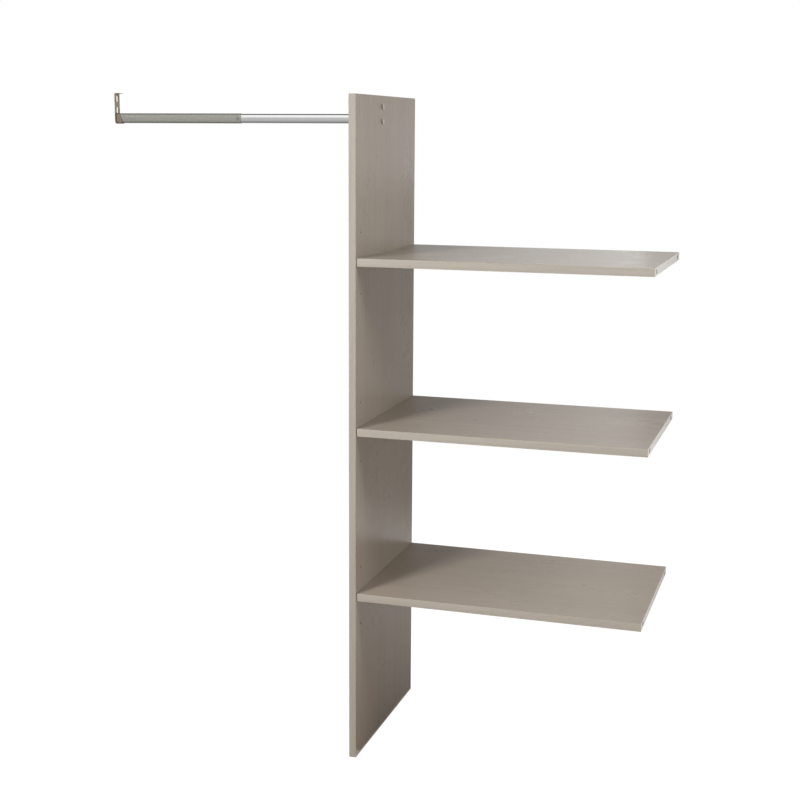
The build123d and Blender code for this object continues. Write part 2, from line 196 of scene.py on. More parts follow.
mirror_card("flag_above", [
    (-3.0, -1.0, 3.2), (0.1, -1.0, 3.2), (0.1, 2.6, 3.2), (-3.0, 2.6, 3.2),
], low_tone=0.14, high_tone=0.14)
mirror_card("flag_below", [
    (-3.2, -2.6, 0.83), (-0.1, -2.6, 0.83), (-0.1, 2.4, 0.83), (-3.2, 2.4, 0.83),
], low_tone=0.25, high_tone=0.25)
mirror_card("card_front", [
    (-3.2, -2.6, 0.84), (0.0, -2.6, 0.84), (0.0, -2.6, 2.30), (-3.2, -2.6, 2.30),
], low_tone=0.30, high_tone=0.62)
mirror_card("flag_floor", [
    (0.012, -0.25, 0.004), (2.0, -0.25, 0.004), (2.0, 1.2, 0.004), (0.012, 1.2, 0.004),
], low_tone=0.06, high_tone=0.90, axis=1)
mirror_card("card_back_high", [
    (-0.75, 2.4, 1.68), (-0.75, 2.4, 2.05), (0.50, 2.4, 2.05), (0.50, 2.4, 1.68),
], low_tone=0.2, high_tone=1.9, axis=0)
mirror_card("card_back_low", [
    (-0.75, 2.4, 0.90), (-0.75, 2.4, 1.68), (0.50, 2.4, 1.68), (0.50, 2.4, 0.90),
], low_tone=0.05, high_tone=1.0, axis=0)
mirror_card("flag_corner", [
    (0.50, 2.4, 1.42), (0.50, 2.4, 1.70), (1.00, 2.4, 1.70), (1.00, 2.4, 1.42),
], low_tone=0.0, high_tone=0.5, axis=0)
mirror_card("flag_back", [
    (-2.5, 2.5, 0.0), (3.5, 2.5, 0.0), (3.5, 2.5, 1.65), (-2.5, 2.5, 1.65),
], low_tone=0.38, high_tone=0.64)


def soft_lamp(name, spot, watts, aim=closet_middle, side=lamp_side):
    """A square area lamp at a spot, turned to shine at its aim. Neither the camera nor shiny
    things see it, as the room and the cards are there for that."""
    data = bpy.data.lights.new(name, "AREA")
    data.shape = "SQUARE"
    data.size = side
    data.energy = watts
    lamp = bpy.data.objects.new(name, data)
    scene.collection.objects.link(lamp)
    lamp.location = spot
    lamp.rotation_euler = (Vector(aim) - Vector(spot)).to_track_quat("-Z", "Y").to_euler()
    lamp.visible_glossy = False
    lamp.visible_camera = False


soft_lamp("key_lamp", (-1.4, -3.4, 2.6), watts=118.0)
soft_lamp("right_lamp", (3.4, -0.6, 2.4), watts=20.0)
soft_lamp("end_lamp", (2.2, -1.0, 2.9), watts=10.0, aim=(0.8, 0.0, 1.4))
soft_lamp("low_lamp", (2.6, -2.6, 1.2), watts=12.0)
soft_lamp("back_lamp", (0.5, 3.4, 1.4), watts=12.0)
soft_lamp("near_lamp", (1.8, -0.5, 0.8), watts=1.6, aim=(0.85, 0.0, 0.9), side=0.3)

# Upright board
# One tall sheet of chipboard with a greige wood-grain melamine face on both sides, grain
# upright. It is drilled for the shelf bolts, spare shelf places, dowels and the rod's bolts.
board_ease = 0.00035
print_light = (0.441, 0.377, 0.309, 1.0)
print_dark = (0.384, 0.325, 0.264, 1.0)
print_pore = (0.277, 0.232, 0.188, 1.0)
# Cut chipboard is near white: a pale board tone with painted light in it, which brightens the raw
# ends.
core_light = (0.985, 0.978, 0.958, 1.0)
core_dark = (0.850, 0.836, 0.806, 1.0)
core_pit = (0.560, 0.532, 0.490, 1.0)
skin_tone = (0.900, 0.890, 0.862, 1.0)
# The bores are a darker brown chipboard: dust in them, and painted shade inside the holes.
bore_dust_and_shade_tones = {
    "Light": (0.260, 0.205, 0.150, 1.0), "Dark": (0.150, 0.112, 0.078, 1.0),
    "Pit": (0.080, 0.058, 0.040, 1.0), "Skin": (0.220, 0.175, 0.130, 1.0),
}
skin_depth = 0.0009
coarse_flakes = 250.0
fine_flakes = 900.0
figure_share = 0.30
streak_share = 0.45
fibre_share = 0.25
pore_share = 0.55
print_gloss = 0.2
print_satin = (0.28, 0.36)
print_relief = 0.00006
core_roughness = 0.86
core_gloss = 0.3
core_relief = 0.00025
sharp_corner = math.radians(35)
flat_bend = math.radians(0.5)
merge_gap = 0.000001


def new_group(name, inputs, outputs):
    """A node group with the given sockets: its tree, its inputs to read and its outputs to
    feed."""
    tree = bpy.data.node_groups.new(name, "ShaderNodeTree")
    for label, kind, value in inputs:
        socket = tree.interface.new_socket(label, in_out="INPUT", socket_type=kind)
        if value is not None:
            socket.default_value = value
    for label, kind in outputs:
        tree.interface.new_socket(label, in_out="OUTPUT", socket_type=kind)
    arriving = tree.nodes.new("NodeGroupInput").outputs
    leaving = tree.nodes.new("NodeGroupOutput").inputs
    return tree, arriving, leaving


def drawn_noise(tree, vector, stretch, **feeds):
    """Noise whose cells number stretch a metre along each axis."""
    scaled = node(tree, "ShaderNodeVectorMath", {0: vector, 1: stretch}, operation="MULTIPLY")
    given = {"Vector": scaled.outputs[0], "Scale": 1.0, **feeds}
    return node(tree, "ShaderNodeTexNoise", given).outputs["Fac"]


def ramp(tree, value, start, end, low=0.0, high=1.0):
    """The value taken smoothly from low at start to high at end, and held beyond them."""
    return node(tree, "ShaderNodeMapRange", {
        "Value": value, "From Min": start, "From Max": end, "To Min": low, "To Max": high,
    }, interpolation_type="SMOOTHSTEP").outputs[0]


def mixed_colour(tree, share, first, second):
    """First where share is 0 and second where it is 1."""
    return node(tree, "ShaderNodeMix", {0: share, 6: first, 7: second}, data_type="RGBA").outputs[2]


def make_marks_group():
    """Handling marks: soft smudges a hand across, broken up by finer noise, from 0 to 1."""
    tree, given, result = new_group(
        "handling marks", [("Vector", "NodeSocketVector", None)], [("Mask", "NodeSocketFloat")]
    )
    broad = drawn_noise(tree, given["Vector"], (7.0, 7.0, 7.0), Detail=3.0, Distortion=0.6)
    fine = drawn_noise(tree, given["Vector"], (60.0, 60.0, 60.0), Detail=4.0)
    patch = ramp(tree, broad, 0.52, 0.72)
    broken = ramp(tree, fine, 0.30, 0.65)
    tree.links.new(math_node(tree, "MULTIPLY", patch, broken), result["Mask"])
    return tree


def make_print_group():
    """The wood-grain print, with the grain along the vector's X. Broad figure, streaks a few
    millimetres wide and hair-fine fibres add up to one tone between Light and Dark, and short
    pores in bunches are darker and slightly sunk."""
    tree, given, result = new_group("wood print", [
        ("Vector", "NodeSocketVector", None),
        ("Light", "NodeSocketColor", print_light),
        ("Dark", "NodeSocketColor", print_dark),
        ("Pore", "NodeSocketColor", print_pore),
    ], [
        ("Color", "NodeSocketColor"), ("Roughness", "NodeSocketFloat"),
        ("Height", "NodeSocketFloat"),
    ])
    vector = given["Vector"]
    figure = drawn_noise(tree, vector, (0.8, 13.0, 13.0), Detail=3.0, Distortion=0.9)
    streaks = drawn_noise(tree, vector, (1.7, 140.0, 140.0), Detail=5.0, Roughness=0.62)
    fibres = drawn_noise(tree, vector, (16.0, 1200.0, 1200.0), Detail=2.0)
    pore_field = drawn_noise(tree, vector, (60.0, 2800.0, 2800.0), Detail=1.0)
    bunches = drawn_noise(tree, vector, (2.6, 85.0, 85.0), Detail=2.0)
    pores = math_node(
        tree, "MULTIPLY", ramp(tree, pore_field, 0.58, 0.68), ramp(tree, bunches, 0.42, 0.60)
    )
    broad = math_node(tree, "MULTIPLY", figure, figure_share)
    middle = math_node(tree, "MULTIPLY_ADD", streaks, streak_share, broad)
    tone = math_node(tree, "MULTIPLY_ADD", fibres, fibre_share, middle)
    shade = ramp(tree, tone, 0.34, 0.66)
    wood = mixed_colour(tree, shade, given["Light"], given["Dark"])
    faint_pores = math_node(tree, "MULTIPLY", pores, pore_share)
    tree.links.new(mixed_colour(tree, faint_pores, wood, given["Pore"]), result["Color"])
    marks = node(tree, "ShaderNodeGroup", {"Vector": vector}, node_tree=marks_group)
    satin = ramp(tree, fibres, 0.30, 0.70, *print_satin)
    rubbed = math_node(tree, "MULTIPLY_ADD", marks.outputs["Mask"], -0.06, satin)
    tree.links.new(math_node(tree, "MULTIPLY_ADD", pores, 0.12, rubbed), result["Roughness"])
    sunk = math_node(tree, "MULTIPLY", pores, -0.8)
    tree.links.new(math_node(tree, "MULTIPLY_ADD", fibres, 0.35, sunk), result["Height"])
    return tree


def make_core_group():
    """Cut chipboard. Across is the distance from the board's middle plane and Half its half
    thickness. Flakes are cells of one tone each, coarse in the core and fine near the faces,
    in lighter and darker clumps, with dark pits between them and the pale edge of the face
    paper outermost."""
    tree, given, result = new_group("cut chipboard", [
        ("Vector", "NodeSocketVector", None),
        ("Across", "NodeSocketFloat", 0.0),
        ("Half", "NodeSocketFloat", 0.011),
        ("Light", "NodeSocketColor", core_light),
        ("Dark", "NodeSocketColor", core_dark),
        ("Pit", "NodeSocketColor", core_pit),
        ("Skin", "NodeSocketColor", skin_tone),
    ], [("Color", "NodeSocketColor"), ("Height", "NodeSocketFloat")])
    depth = math_node(
        tree, "SUBTRACT", given["Half"], math_node(tree, "ABSOLUTE", given["Across"])
    )
    core = ramp(tree, depth, 0.0025, 0.0055)
    vector = given["Vector"]

    def flakes(cells):
        found = node(tree, "ShaderNodeTexVoronoi", {"Vector": vector, "Scale": cells})
        return node(tree, "ShaderNodeSeparateColor", {0: found.outputs["Color"]}).outputs[0]

    tone = node(tree, "ShaderNodeMix", {
        0: core, 2: flakes(fine_flakes), 3: flakes(coarse_flakes),
    }).outputs[0]
    fuzz = drawn_noise(tree, vector, (1500.0, 1500.0, 1500.0), Detail=2.0)
    pit_field = drawn_noise(tree, vector, (420.0, 420.0, 420.0), Detail=3.0)
    pits = ramp(tree, pit_field, 0.56, 0.66)
    open_pits = math_node(tree, "MULTIPLY", pits, math_node(tree, "MULTIPLY_ADD", core, 0.5, 0.25))
    clump_field = drawn_noise(tree, vector, (190.0, 190.0, 190.0), Detail=1.0)
    clumps = ramp(tree, clump_field, 0.40, 0.60)
    even = math_node(tree, "MULTIPLY_ADD", clumps, 0.35, math_node(tree, "MULTIPLY", tone, 0.45))
    uneven = math_node(tree, "MULTIPLY_ADD", fuzz, 0.2, even)
    chips = mixed_colour(tree, uneven, given["Light"], given["Dark"])
    pitted = mixed_colour(tree, open_pits, chips, given["Pit"])
    skin = ramp(tree, depth, skin_depth * 1.3, skin_depth)
    tree.links.new(mixed_colour(tree, skin, pitted, given["Skin"]), result["Color"])
    relief = math_node(tree, "MULTIPLY_ADD", open_pits, -0.9, uneven)
    calm = math_node(tree, "SUBTRACT", 1.0, skin)
    tree.links.new(math_node(tree, "MULTIPLY", relief, calm), result["Height"])
    return tree


marks_group = make_marks_group()
print_group = make_print_group()
core_group = make_core_group()


def finish_shader(tree, feeds, height=None, relief=0.0001):
    """The Principled shader with its inputs, and a bump of the given relief in metres."""
    if height is not None:
        bump = node(tree, "ShaderNodeBump", {"Height": height, "Strength": 1.0, "Distance": relief})
        feeds = {**feeds, "Normal": bump.outputs[0]}
    shader = node(tree, "ShaderNodeBsdfPrincipled", feeds)
    node(tree, "ShaderNodeOutputMaterial", {"Surface": shader.outputs[0]})


def turned_place(tree, turn, shift=(0.0, 0.0, 0.0)):
    """The place on the piece, turned by an angle on each axis, and then shifted."""
    place = node(tree, "ShaderNodeTexCoord").outputs["Object"]
    return node(tree, "ShaderNodeMapping", {
        "Vector": place, "Rotation": turn, "Location": shift,
    }).outputs[0]


# The turns that bring an upright grain, or one that runs to the wall, onto the print's X
grain_up = (0.0, math.pi / 2, 0.0)
grain_to_wall = (0.0, 0.0, -math.pi / 2)
grain_along = (0.0, 0.0, 0.0)


def make_face_material(name, turn, shift):
    """The melamine face of a board: the print under a thin clear satin skin."""
    material, tree = empty_material(name)
    place = turned_place(tree, turn, shift)
    grain = node(tree, "ShaderNodeGroup", {"Vector": place}, node_tree=print_group)
    finish_shader(tree, {
        "Base Color": grain.outputs["Color"], "Roughness": grain.outputs["Roughness"],
        "Specular IOR Level": print_gloss,
    }, grain.outputs["Height"], print_relief)
    return material


def make_core_material(name, axis, middle, half, tones=None):
    """Cut chipboard for a board that lies across one axis with its middle plane at middle. Tones
    are other colours than those of a sawn edge, such as the bores' dust and painted shade."""
    material, tree = empty_material(name)
    place = node(tree, "ShaderNodeTexCoord").outputs["Object"]
    parts = node(tree, "ShaderNodeSeparateXYZ", {0: place}).outputs
    core = node(tree, "ShaderNodeGroup", {
        "Vector": place, "Across": math_node(tree, "SUBTRACT", parts[axis], middle),
        "Half": half, **(tones or {}),
    }, node_tree=core_group)
    finish_shader(tree, {
        "Base Color": core.outputs["Color"], "Roughness": core_roughness,
        "Specular IOR Level": core_gloss,
    }, core.outputs["Height"], core_relief)
    return material


def eased_copy(node_name, name, ease, *materials):
    """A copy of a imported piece, with doubled points merged and flat regions made one face, and
    every edge sharper than 35 degrees rounded by the ease, in metres."""
    mesh = frame["nodes"][node_name].data.copy()
    mesh.name = name
    work = bmesh.new()
    work.from_mesh(mesh)
    bmesh.ops.remove_doubles(work, verts=work.verts, dist=merge_gap)
    bmesh.ops.dissolve_limit(
        work, angle_limit=flat_bend, verts=work.verts, edges=work.edges
    )
    work.to_mesh(mesh)
    work.free()
    if "custom_normal" in mesh.attributes:
        mesh.attributes.remove(mesh.attributes["custom_normal"])
    mesh.polygons.foreach_set("use_smooth", np.ones(len(mesh.polygons), bool))
    mesh.edges.foreach_set("use_edge_sharp", np.zeros(len(mesh.edges), bool))
    mesh.materials.clear()
    for material in materials:
        mesh.materials.append(material)
    mesh.polygons.foreach_set("material_index", np.zeros(len(mesh.polygons), np.int32))
    piece = bpy.data.objects.new(name, mesh)
    scene.collection.objects.link(piece)
    bevel = piece.modifiers.new("eased edges", "BEVEL")
    bevel.width = ease
    bevel.segments = 2
    bevel.limit_method = "ANGLE"
    bevel.angle_limit = sharp_corner
    bevel.use_clamp_overlap = False
    bevel.loop_slide = False
    flat = piece.modifiers.new("flat faces", "WEIGHTED_NORMAL")
    flat.keep_sharp = False
    return piece


def core_on_cuts(piece, axis):
    """Keeps a board's first material on the two broad faces, which lie across the axis at the
    board's extremes, and gives the second to its other outer faces and the third to bores, whose
    material is darkened with dust and painted shade."""
    mesh = piece.data
    middles = np.empty(len(mesh.polygons) * 3)
    normals = np.empty(len(mesh.polygons) * 3)
    mesh.polygons.foreach_get("center", middles)
    mesh.polygons.foreach_get("normal", normals)
    middles = middles.reshape(-1, 3)
    facing = np.abs(normals.reshape(-1, 3)) > 0.99
    outer = np.minimum(middles - middles.min(axis=0), middles.max(axis=0) - middles) < 0.0001
    outside = outer & facing
    kind = np.where(outside[:, axis], 0, np.where(outside.any(axis=1), 1, 2))
    mesh.polygons.foreach_set("material_index", kind.astype(np.int32))


def fit(piece, body, node_name):
    """The piece rides on a body and stands for the named node, which is hidden."""
    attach(piece, body)
    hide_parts(node_name)


panel_low, panel_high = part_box("panel_board")
panel_half = (panel_high.x - panel_low.x) / 2
upright_face = make_face_material("upright_melamine", grain_up, (0.0, 0.0, 0.0))
upright_core = make_core_material("upright_chipboard", 0, 0.0, panel_half)
# The bore material is darkened with dust and painted shade.
upright_bore = make_core_material("upright_bores_dust_and_shade", 0, 0.0, panel_half, bore_dust_and_shade_tones)
upright = eased_copy(
    "panel_board", "upright_board", board_ease, upright_face, upright_core, upright_bore
)
core_on_cuts(upright, 0)
fit(upright, "closet_frame", "panel_board")

# Upright edging
# One-millimetre plastic edging in the same print, ironed onto the front, top and foot. Its two
# long corners are milled round, which bares the plastic's plain tan under the print.
upright_edging_tones = ((0.464, 0.428, 0.380, 1.0), (0.404, 0.371, 0.325, 1.0))
milled_tan = (0.520, 0.440, 0.345, 1.0)
milled_radius = 0.0008
milled_points = 7
edging_relief = 0.00005


def closed_skin(name, stacks, marks=None):
    """A closed skin over stacks of rings, each an array (ring, point round it, xyz). Four-sided
    faces join each ring to the next, and each end ring is closed by a fan to its own middle.
    Marks give a value from 0 to 1 for each point round a ring, kept as milled."""
    points, faces, values = [], [], []
    total = 0
    for stack in stacks:
        count, around = stack.shape[:2]
        ring = np.arange(count - 1)[:, None]
        spot = np.arange(around)
        beside = (spot + 1) % around
        quads = np.stack([
            ring * around + spot, ring * around + beside,
            (ring + 1) * around + beside, (ring + 1) * around + spot,
        ], -1).reshape(-1, 4)
        faces += (quads + total).tolist()
        last = (count - 1) * around
        first_middle = count * around
        start = np.stack([np.full(around, first_middle), beside, spot], -1)
        end = np.stack([np.full(around, first_middle + 1), last + spot, last + beside], -1)
        faces += (np.vstack([start, end]) + total).tolist()
        points += [stack.reshape(-1, 3), stack[[0, -1]].mean(axis=1)]
        if marks is not None:
            values += [np.broadcast_to(marks, (count, around)).ravel(), np.zeros(2)]
        total += first_middle + 2
    mesh = bpy.data.meshes.new(name)
    mesh.from_pydata(np.vstack(points).tolist(), [], faces)
    if marks is not None:
        milled = mesh.attributes.new("milled", "FLOAT", "POINT")
        milled.data.foreach_set("value", np.concatenate(values))
    work = bmesh.new()
    work.from_mesh(mesh)
    bmesh.ops.recalc_face_normals(work, faces=work.faces)
    work.to_mesh(mesh)
    work.free()
    mesh.polygons.foreach_set("use_smooth", np.ones(len(mesh.polygons), bool))
    mesh.set_sharp_from_angle(angle=sharp_corner)
    piece = bpy.data.objects.new(name, mesh)
    scene.collection.objects.link(piece)
    return piece


def edging(name, node_name, run, outward, material):
    """A strip in the place of a packed band: an oblong of the band's width and thickness, with
    its two outer corners rounded, carried along the run axis. Outward is the axis and the
    sense in which its printed face looks. The rounded points are marked as milled."""
    low, high = (np.array(corner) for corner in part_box(node_name))
    face, sense = outward
    width = 3 - run - face
    half = (high[width] - low[width]) / 2
    thick = high[face] - low[face]
    quarter = np.linspace(0, math.pi / 2, milled_points)
    corner_w = half - milled_radius + milled_radius * np.cos(quarter)
    corner_t = thick - milled_radius + milled_radius * np.sin(quarter)
    profile_w = np.concatenate([[-half, half], corner_w, -corner_w[::-1]])
    profile_t = np.concatenate([[0.0, 0.0], corner_t, corner_t[::-1]])
    inside = np.zeros(len(quarter))
    inside[1:-1] = 1.0
    marks = np.concatenate([[0.0, 0.0], inside, inside])
    rings = np.empty((2, len(profile_w), 3))
    rings[:, :, width] = (low[width] + high[width]) / 2 + profile_w
    base = low[face] if sense > 0 else high[face]
    rings[:, :, face] = base + sense * profile_t
    rings[:, :, run] = np.array([low[run], high[run]])[:, None]
    strip = closed_skin(name, [rings], marks=marks)
    strip.data.materials.append(material)
    return strip


def make_edging_material(name, turn, shift, tones):
    """Edging plastic: the print in its light and dark tones on its faces, and plain tan where
    its corners are milled."""
    material, tree = empty_material(name)
    place = turned_place(tree, turn, shift)
    grain = node(tree, "ShaderNodeGroup", {
        "Vector": place, "Light": tones[0], "Dark": tones[1],
    }, node_tree=print_group)
    milled = node(tree, "ShaderNodeAttribute", attribute_name="milled").outputs["Fac"]
    ragged = drawn_noise(tree, place, (90.0, 900.0, 900.0), Detail=2.0)
    bared = math_node(tree, "MULTIPLY", milled, ramp(tree, ragged, 0.25, 0.45, 0.7, 1.0))
    colour = mixed_colour(tree, bared, grain.outputs["Color"], milled_tan)
    finish_shader(tree, {
        "Base Color": colour, "Roughness": grain.outputs["Roughness"],
        "Specular IOR Level": print_gloss,
    }, grain.outputs["Height"], edging_relief)
    return material


upright_edge = make_edging_material(
    "upright_edging", grain_up, (0.31, 0.0, 0.0), upright_edging_tones
)
end_edge = make_edging_material(
    "upright_end_edging", grain_to_wall, (0.12, 0.0, 0.0), upright_edging_tones
)
for name, node_name, run, outward, material in (
    ("upright_front_edging", "panel_front_band", 2, (1, -1), upright_edge),
    ("upright_top_edging", "panel_top_band", 1, (2, 1), end_edge),
    ("upright_foot_edging", "panel_foot_band", 1, (2, -1), end_edge),
):
    strip = edging(name, node_name, run, outward, material)
    fit(strip, "closet_frame", node_name)

# Shelves
# Three chipboard shelves faced like the upright, with the grain along them. Their far ends and
# the edges to the wall are left raw, and they are drilled for sockets, cams, bolts and dowels.
shelf_edging_tones = ((0.502, 0.463, 0.412, 1.0), (0.437, 0.401, 0.352, 1.0))
shelf_names = ("low", "mid", "high")
shelf_boxes = {shelf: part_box(f"{shelf}_shelf_board") for shelf in shelf_names}
shelf_levels = {shelf: (low.z + high.z) / 2 for shelf, (low, high) in shelf_boxes.items()}
shelf_half = (shelf_boxes["low"][1].z - shelf_boxes["low"][0].z) / 2
for place, shelf in enumerate(shelf_names):
    face = make_face_material(
        f"{shelf}_shelf_melamine", grain_along, (0.9 * place, 0.4 * place, 0.0)
    )
    middle = (2, shelf_levels[shelf], shelf_half)
    core = make_core_material(f"{shelf}_shelf_chipboard", *middle)
    # The bore material is darkened with dust and painted shade.
    bore = make_core_material(f"{shelf}_shelf_bores_dust_and_shade", *middle, bore_dust_and_shade_tones)
    board = eased_copy(f"{shelf}_shelf_board", f"{shelf}_shelf", board_ease, face, core, bore)
    core_on_cuts(board, 2)
    fit(board, "closet_frame", f"{shelf}_shelf_board")
    edge = make_edging_material(
        f"{shelf}_shelf_edging", grain_along, (0.5 * place, 0.3, 0.1), shelf_edging_tones
    )
    strip = edging(f"{shelf}_shelf_front_edging", f"{shelf}_shelf_band", 0, (1, -1), edge)
    fit(strip, "closet_frame", f"{shelf}_shelf_band")

# Wall sockets
# Dark moulded sleeves pressed into each shelf's far end, with barbs that grip the chipboard
# and ribs inside that pinch a pin in the side wall.
socket_barb = 0.0004
socket_barb_pitch = 0.003
socket_bore_radius = 0.005
socket_bore_depth = 0.020
socket_rib = 0.0006
socket_ribs = 6
socket_mouth = 0.0008
socket_points = 48
socket_dark = (0.030, 0.026, 0.023, 1.0)


def turned_rings(along, out, start, axis, side):
    """Rings round an axis from a start point. Along and out give each ring's distance down the
    axis and its radius, one number a ring or one for each point round it."""
    along, out = np.broadcast_arrays(along, out)
    turn = np.linspace(0, 2 * math.pi, out.shape[1], endpoint=False)
    axis, side = np.array(axis, float), np.array(side, float)
    other = np.cross(axis, side)
    return (
        np.array(start) + along[..., None] * axis
        + (out * np.cos(turn))[..., None] * side + (out * np.sin(turn))[..., None] * other
    )


def socket_rings(start, length, radius):
    """A sleeve's profile carried round: out over the blind end, along the outside with barbs,
    a sawtooth of the distance in pitches, in at the mouth's chamfer, and down the bore, where
    the radius falls by the rib height at the peaks of a cosine of the turn."""
    turn = np.linspace(0, 2 * math.pi, socket_points, endpoint=False)
    barbs = np.linspace(0.0015, length - 0.004, 40)
    barb_out = radius - socket_barb * ((barbs / socket_barb_pitch) % 1)
    bore = np.linspace(length - 0.002, length - socket_bore_depth, 12)
    profile_along = np.concatenate([
        [0.0, 0.0, 0.0008], barbs, [length - 0.003, length - 0.0003, length, length],
        [length - socket_mouth], bore, [length - socket_bore_depth],
    ])
    profile_out = np.concatenate([
        [0.0002, radius - 0.0008, radius - 0.0003], barb_out,
        [radius, radius, radius - 0.0003, socket_bore_radius + socket_mouth],
        np.full(len(bore) + 1, socket_bore_radius), [0.0002],
    ])
    rib = np.clip(np.cos(socket_ribs * turn), 0, 1) ** 3
    in_bore = np.zeros(len(profile_along))
    in_bore[-len(bore) - 1:-1] = np.clip(np.arange(len(bore)) / 2, 0, 1)
    out = profile_out[:, None] - socket_rib * in_bore[:, None] * rib[None, :]
    return turned_rings(profile_along[:, None], out, start, (1, 0, 0), (0, 1, 0))


def make_plastic_material(name, colour, roughness, relief):
    """Moulded plastic: even colour with a faint cloud in it, and a fine spark-eroded grain."""
    material, tree = empty_material(name)
    place = node(tree, "ShaderNodeTexCoord").outputs["Object"]
    cloud = drawn_noise(tree, place, (220.0, 220.0, 220.0), Detail=3.0)
    grain = drawn_noise(tree, place, (3800.0, 3800.0, 3800.0), Detail=1.0)
    lighter = tuple(min(1.0, part * 1.45 + 0.004) for part in colour[:3]) + (1.0,)
    finish_shader(tree, {
        "Base Color": mixed_colour(tree, ramp(tree, cloud, 0.35, 0.70), colour, lighter),
        "Roughness": ramp(tree, cloud, 0.3, 0.7, roughness - 0.05, roughness + 0.08),
    }, grain, relief)
    return material


socket_plastic = make_plastic_material(
    "socket_plastic", socket_dark, roughness=0.42, relief=0.00003
)
cam_spots = {}
for shelf in shelf_names:
    for end in ("front", "back"):
        low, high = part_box(f"{shelf}_{end}_cam")
        cam_spots[shelf, end] = ((low.x + high.x) / 2, (low.y + high.y) / 2, shelf_levels[shelf])
    low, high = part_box(f"{shelf}_shelf_sockets")
    stacks = [
        socket_rings(
            (low.x, cam_spots[shelf, end][1], shelf_levels[shelf]),
            high.x - low.x, (high.z - low.z) / 2,
        )
        for end in ("front", "back")
    ]
    sockets = closed_skin(f"{shelf}_wall_sockets", stacks)
    sockets.data.materials.append(socket_plastic)
    fit(sockets, "closet_frame", f"{shelf}_shelf_sockets")

# Cams
# Cast zinc drums in the shelves' undersides. A screwdriver in the cross turns each one, and
# its hollow draws the bolt's head and the shelf tight to the upright.
cam_ease = 0.00015
cast_light = (0.560, 0.555, 0.540, 1.0)
cast_dark = (0.380, 0.375, 0.360, 1.0)


def make_metal_group():
    """The state of a metal surface, with its drawing direction along the vector's X. Lines are
    fine streaks along it, and Clouds a slow mottle as plating and oil leave. Height is the
    lines' relief."""
    tree, given, result = new_group(
        "metal surface", [("Vector", "NodeSocketVector", None)],
        [
            ("Lines", "NodeSocketFloat"), ("Clouds", "NodeSocketFloat"),
            ("Height", "NodeSocketFloat"),
        ],
    )
    fine = drawn_noise(tree, given["Vector"], (9.0, 2400.0, 2400.0), Detail=3.0, Roughness=0.7)
    coarse = drawn_noise(tree, given["Vector"], (22.0, 700.0, 700.0), Detail=2.0)
    both = math_node(tree, "MULTIPLY_ADD", coarse, 0.4, math_node(tree, "MULTIPLY", fine, 0.6))
    tree.links.new(ramp(tree, both, 0.35, 0.65), result["Lines"])
    cloud = drawn_noise(tree, given["Vector"], (90.0, 160.0, 160.0), Detail=4.0, Distortion=0.5)
    tree.links.new(ramp(tree, cloud, 0.34, 0.66), result["Clouds"])
    tree.links.new(both, result["Height"])
    return tree


metal_group = make_metal_group()


def make_metal_material(
    name, light, dark, smooth, rough, relief, turn=grain_along, line_share=0.4, metallic=1.0
):
    """Bare or plated metal: its tone goes from light to dark with clouds and drawing lines,
    and its roughness from smooth to rough with the lines and handling marks. Metallic is below
    1 for a plating with a chalky film on it."""
    material, tree = empty_material(name)
    place = turned_place(tree, turn)
    surface = node(tree, "ShaderNodeGroup", {"Vector": place}, node_tree=metal_group)
    marks = node(tree, "ShaderNodeGroup", {"Vector": place}, node_tree=marks_group)
    clouds = math_node(tree, "MULTIPLY", surface.outputs["Clouds"], 1.0 - line_share)
    tone = math_node(tree, "MULTIPLY_ADD", surface.outputs["Lines"], line_share, clouds)
    wear = math_node(tree, "MULTIPLY_ADD", marks.outputs["Mask"], 0.5, tone)
    finish_shader(tree, {
        "Base Color": mixed_colour(tree, tone, light, dark), "Metallic": metallic,
        "Roughness": ramp(tree, wear, 0.0, 1.2, smooth, rough),
    }, surface.outputs["Height"], relief)
    return material


cast_zinc = make_metal_material(
    "cast_zinc", cast_light, cast_dark, smooth=0.34, rough=0.55, relief=0.00004, line_share=0.1
)
for shelf in shelf_names:
    for end in ("front", "back"):
        drum = eased_copy(f"{shelf}_{end}_cam", f"{shelf}_{end}_cam_drum", cam_ease, cast_zinc)
        fit(drum, f"{shelf}_{end}_cam", f"{shelf}_{end}_cam")

# Shelf bolts
# Zinc-plated steel, two for each shelf: a coarse thread in the upright, a shank, and a thin
# neck that ends in the head inside the cam.
bolt_pitch = 0.0020
bolt_thread_depth = 0.00045
bolt_thread_end = 0.0118
bolt_collar = 0.012
bolt_points = 24
plate_light = (0.640, 0.630, 0.600, 1.0)
plate_dark = (0.470, 0.455, 0.425, 1.0)


def thread_cut(along, turn, pitch, depth, start, end):
    """How deep a thread cuts: a zigzag of the distance in pitches less the turn, so that the
    ridge climbs one pitch a turn, fading out over one pitch at both of its ends."""
    phase = (along[:, None] / pitch - turn[None, :] / (2 * math.pi)) % 1
    groove = np.abs(2 * phase - 1)
    fade = np.clip((along - start) / pitch, 0, 1) * np.clip((end - along) / pitch, 0, 1)
    return depth * groove * fade[:, None]


def shelf_bolt_rings(start, length):
    """The bolt's profile from its thread's tip to its head, with the thread cut in."""
    turn = np.linspace(0, 2 * math.pi, bolt_points, endpoint=False)
    thread = np.linspace(0.001, bolt_thread_end, 50)
    neck = length - bolt_collar
    along = np.concatenate([
        [0.0, 0.0], thread, [bolt_collar, bolt_collar, bolt_collar + 0.0004],
        [neck - 0.0004, neck, neck], [length - 0.003, length - 0.003],
        [length - 0.0026, length - 0.0006, length, length],
    ])
    out = np.concatenate([
        [0.0002, 0.0018], np.full(len(thread), 0.0024), [0.0024, 0.0027, 0.0030],
        [0.0030, 0.0027, 0.0020], [0.0020, 0.0030], [0.0035, 0.0035, 0.0029, 0.0002],
    ])
    cut = thread_cut(along, turn, bolt_pitch, bolt_thread_depth, 0.0, bolt_thread_end)
    return turned_rings(along[:, None], out[:, None] - cut, start, (1, 0, 0), (0, 1, 0))


